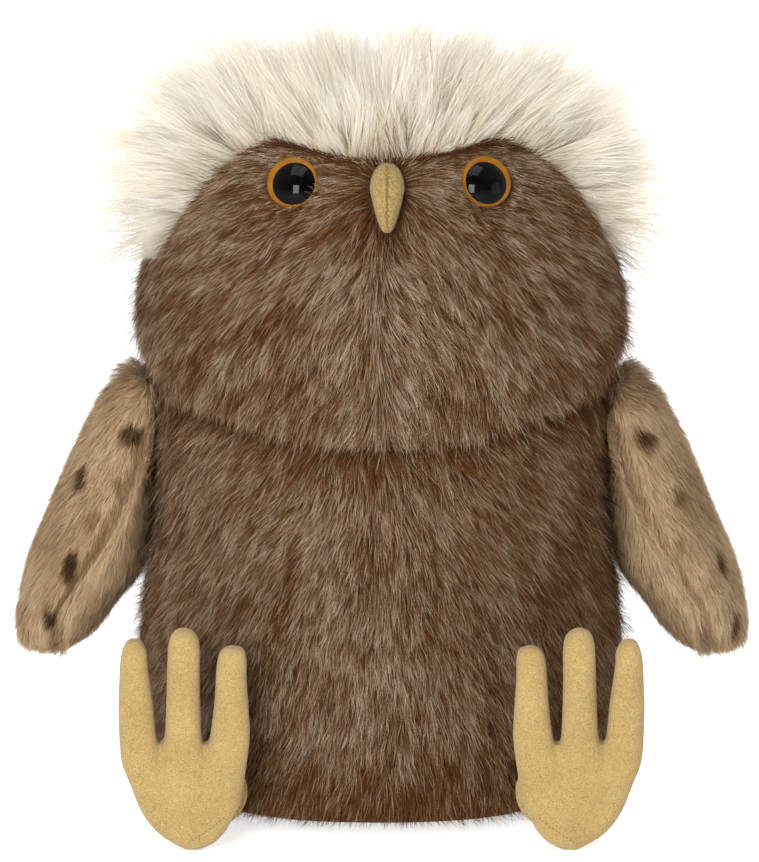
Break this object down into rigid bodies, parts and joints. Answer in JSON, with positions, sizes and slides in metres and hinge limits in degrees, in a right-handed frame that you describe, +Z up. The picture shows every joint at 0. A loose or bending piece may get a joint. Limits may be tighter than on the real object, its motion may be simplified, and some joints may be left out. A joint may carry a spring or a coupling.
{
  "type": "plush owl",
  "caption": "Sitting stuffed owl of long-pile cloth with a pale crest, plastic eyes, a stuffed beak, a turning head, lifting wings and swinging legs with toed feet.",
  "frame": {"origin": "middle of the flat base that the owl sits on", "axes": "+Z up through the head; the face looks along -Y; +X is the viewer's right"},
  "size_m": [0.2642, 0.1704, 0.2745],
  "materials": {
    "brown_fur": "matte",
    "white_fur": "matte",
    "wing_outer": "matte",
    "wing_lining": "matte",
    "suede": "matte",
    "beak_cloth": "matte",
    "filling": "matte",
    "pouch": "matte",
    "amber": "gloss",
    "black": "gloss",
    "nylon": "satin"
  },
  "bodies": {
    "torso": {"belly_panel_left": "brown_fur", "belly_panel_right": "brown_fur", "back_panel_left": "brown_fur", "back_panel_right": "brown_fur", "base_panel": "brown_fur", "torso_stuffing": "filling", "bean_pouch": "pouch"},
    "head": {"face_panel": "brown_fur", "head_back_panel": "brown_fur", "crest_panel": "white_fur", "head_stuffing": "filling", "eye_iris_left": "amber", "eye_iris_right": "amber", "eye_pupil_left": "black", "eye_pupil_right": "black", "eye_washer_left": "nylon", "eye_washer_right": "nylon", "beak_panel_left": "beak_cloth", "beak_panel_right": "beak_cloth", "beak_stuffing": "filling"},
    "wing_left": {"wing_outer_left": "wing_outer", "wing_lining_left": "wing_lining", "wing_stuffing_left": "filling"},
    "wing_right": {"wing_outer_right": "wing_outer", "wing_lining_right": "wing_lining", "wing_stuffing_right": "filling"},
    "leg_left": {"leg_left": "suede", "foot_sole_left": "suede", "foot_top_left": "suede", "foot_stuffing_left": "filling"},
    "leg_right": {"leg_right": "suede", "foot_sole_right": "suede", "foot_top_right": "suede", "foot_stuffing_right": "filling"}
  },
  "joints": [
    {"name": "head_turn", "type": "hinge", "parent": "torso", "child": "head", "pos_m": [0, 0, 0.121], "axis": [0, 0, 1], "range_deg": [-15, 15], "stiffness_Nm_per_rad": 0.05},
    {"name": "wing_lift_left", "type": "hinge", "parent": "torso", "child": "wing_left", "pos_m": [-0.08675, 0.006, 0.152], "axis": [0, 1, 0], "range_deg": [0, 70]},
    {"name": "wing_lift_right", "type": "hinge", "parent": "torso", "child": "wing_right", "pos_m": [0.08675, 0.006, 0.152], "axis": [0, -1, 0], "range_deg": [0, 70]},
    {"name": "leg_swing_left", "type": "hinge", "parent": "torso", "child": "leg_left", "pos_m": [-0.061, -0.06286, 0.0155], "axis": [1, 0, 0], "range_deg": [-12, 80]},
    {"name": "leg_swing_right", "type": "hinge", "parent": "torso", "child": "leg_right", "pos_m": [0.061, -0.06286, 0.0155], "axis": [1, 0, 0], "range_deg": [-12, 80]}
  ]
}
